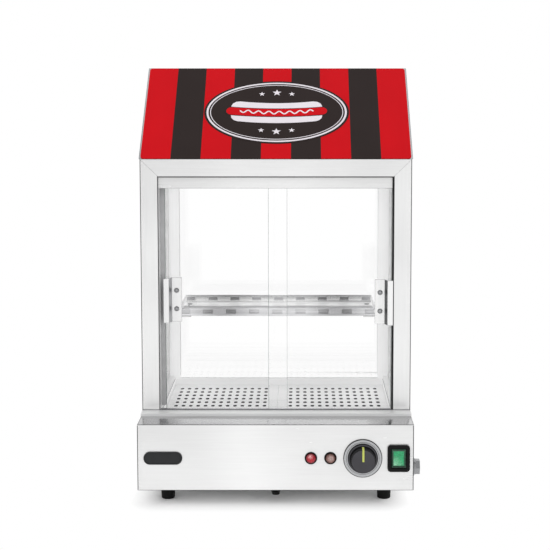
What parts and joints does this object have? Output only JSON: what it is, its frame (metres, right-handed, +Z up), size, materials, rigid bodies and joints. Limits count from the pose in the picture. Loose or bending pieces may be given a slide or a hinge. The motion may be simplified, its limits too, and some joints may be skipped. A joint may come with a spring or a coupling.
{
  "type": "hot dog steamer",
  "caption": "Countertop hot dog steamer: steel base with water pan, glazed cabinet with sliding glass doors, bun shelf and striped gable roof.",
  "frame": {"origin": "bottom centre of the bounding box, on the surface that the feet stand on", "axes": "+Z up, -Y towards the person at the doors, +X to that person's right"},
  "size_m": [0.3612, 0.345, 0.552],
  "materials": {
    "satin_stainless": "satin",
    "formed_stainless": "2B mill",
    "plated_fixings": "bright",
    "drain_brass": "drawn",
    "element_sheath": "heat tinted",
    "copper_capillary": "drawn",
    "toughened_glass": "clear, polished edges",
    "black_rubber": "matt",
    "nylon_glides": "natural",
    "black_moulding": "gloss",
    "pointer_paint": "gloss",
    "thermostat_housing": "bakelite",
    "red_lens": "translucent",
    "amber_lens": "translucent",
    "green_rocker": "translucent",
    "badge_enamel": "gloss",
    "cable_pvc": "matt",
    "sign_red": "printed film",
    "sign_black": "printed film",
    "sign_emblem": "printed film"
  },
  "bodies": {
    "cabinet": {"badge_plate": "badge_enamel", "base_bottom_plate": "satin_stainless", "base_housing": "satin_stainless", "base_screws": "plated_fixings", "bun_shelf": "satin_stainless", "cabinet_fasteners": "plated_fixings", "cabinet_panes": "toughened_glass", "cable_gland": "black_moulding", "ceiling_plate": "satin_stainless", "dial_ring": "plated_fixings", "door_stops": "black_rubber", "door_tracks": "formed_stainless", "drain_collar": "plated_fixings", "drain_pipe": "drain_brass", "element_mountings": "drain_brass", "feet": "black_rubber", "front_left_post": "satin_stainless", "front_right_post": "satin_stainless", "glass_seals": "black_rubber", "heating_element": "element_sheath", "heating_lamp_lens": "red_lens", "lamp_bodies": "black_moulding", "mains_terminals": "thermostat_housing", "overheat_cutout": "black_moulding", "plate_ledges": "formed_stainless", "power_lamp_lens": "amber_lens", "rear_glass_channel": "satin_stainless", "rear_left_post": "satin_stainless", "rear_right_post": "satin_stainless", "roof_gables": "satin_stainless", "roof_panels": "satin_stainless", "shelf_supports": "satin_stainless", "sign_black_stripes": "sign_black", "sign_emblems": "sign_emblem", "sign_red_stripes": "sign_red", "sill_flange": "satin_stainless", "switch_bezel": "black_moulding", "switch_body": "black_moulding", "thermostat_body": "thermostat_housing", "thermostat_capillary": "copper_capillary", "top_rails": "satin_stainless", "water_pan": "formed_stainless", "wiring_loom": "cable_pvc"},
    "left_door": {"left_door_glass": "toughened_glass", "left_handle": "satin_stainless", "left_handle_fixings": "plated_fixings", "left_door_glides": "nylon_glides"},
    "right_door": {"right_door_glass": "toughened_glass", "right_handle": "satin_stainless", "right_handle_fixings": "plated_fixings", "right_door_glides": "nylon_glides"},
    "knob": {"control_knob": "black_moulding", "knob_pointer": "pointer_paint", "thermostat_shaft": "plated_fixings"},
    "rocker": {"switch_rocker": "green_rocker"},
    "reset": {"reset_button": "black_moulding"},
    "drain_plug": {"drain_cap": "plated_fixings"},
    "left_plate": {"left_perforated_plate": "formed_stainless"},
    "right_plate": {"right_perforated_plate": "formed_stainless"}
  },
  "joints": [
    {"name": "left_door_slide", "type": "slide", "parent": "cabinet", "child": "left_door", "axis": [1, 0, 0], "range_m": [0, 0.12]},
    {"name": "right_door_slide", "type": "slide", "parent": "cabinet", "child": "right_door", "axis": [-1, 0, 0], "range_m": [0, 0.12]},
    {"name": "knob_turn", "type": "hinge", "parent": "cabinet", "child": "knob", "pos_m": [0.10575, -0.1555, 0.06], "axis": [0, 1, 0], "range_deg": [0, 270]},
    {"name": "rocker_press", "type": "hinge", "parent": "cabinet", "child": "rocker", "pos_m": [0.15115, -0.1537, 0.06], "axis": [1, 0, 0], "range_deg": [0, 12]},
    {"name": "reset_press", "type": "slide", "parent": "cabinet", "child": "reset", "axis": [0, 0, 1], "range_m": [0, 0.002], "stiffness_N_per_m": 800, "springref_m": -0.002},
    {"name": "drain_cap_turn", "type": "hinge", "parent": "cabinet", "child": "drain_plug", "pos_m": [0.17365, -0.1205, 0.039], "axis": [1, 0, 0], "continuous": true},
    {"name": "left_plate_lift", "type": "slide", "parent": "cabinet", "child": "left_plate", "axis": [0, 0, 1], "range_m": [0, 0.1]},
    {"name": "right_plate_lift", "type": "slide", "parent": "cabinet", "child": "right_plate", "axis": [0, 0, 1], "range_m": [0, 0.1]}
  ]
}
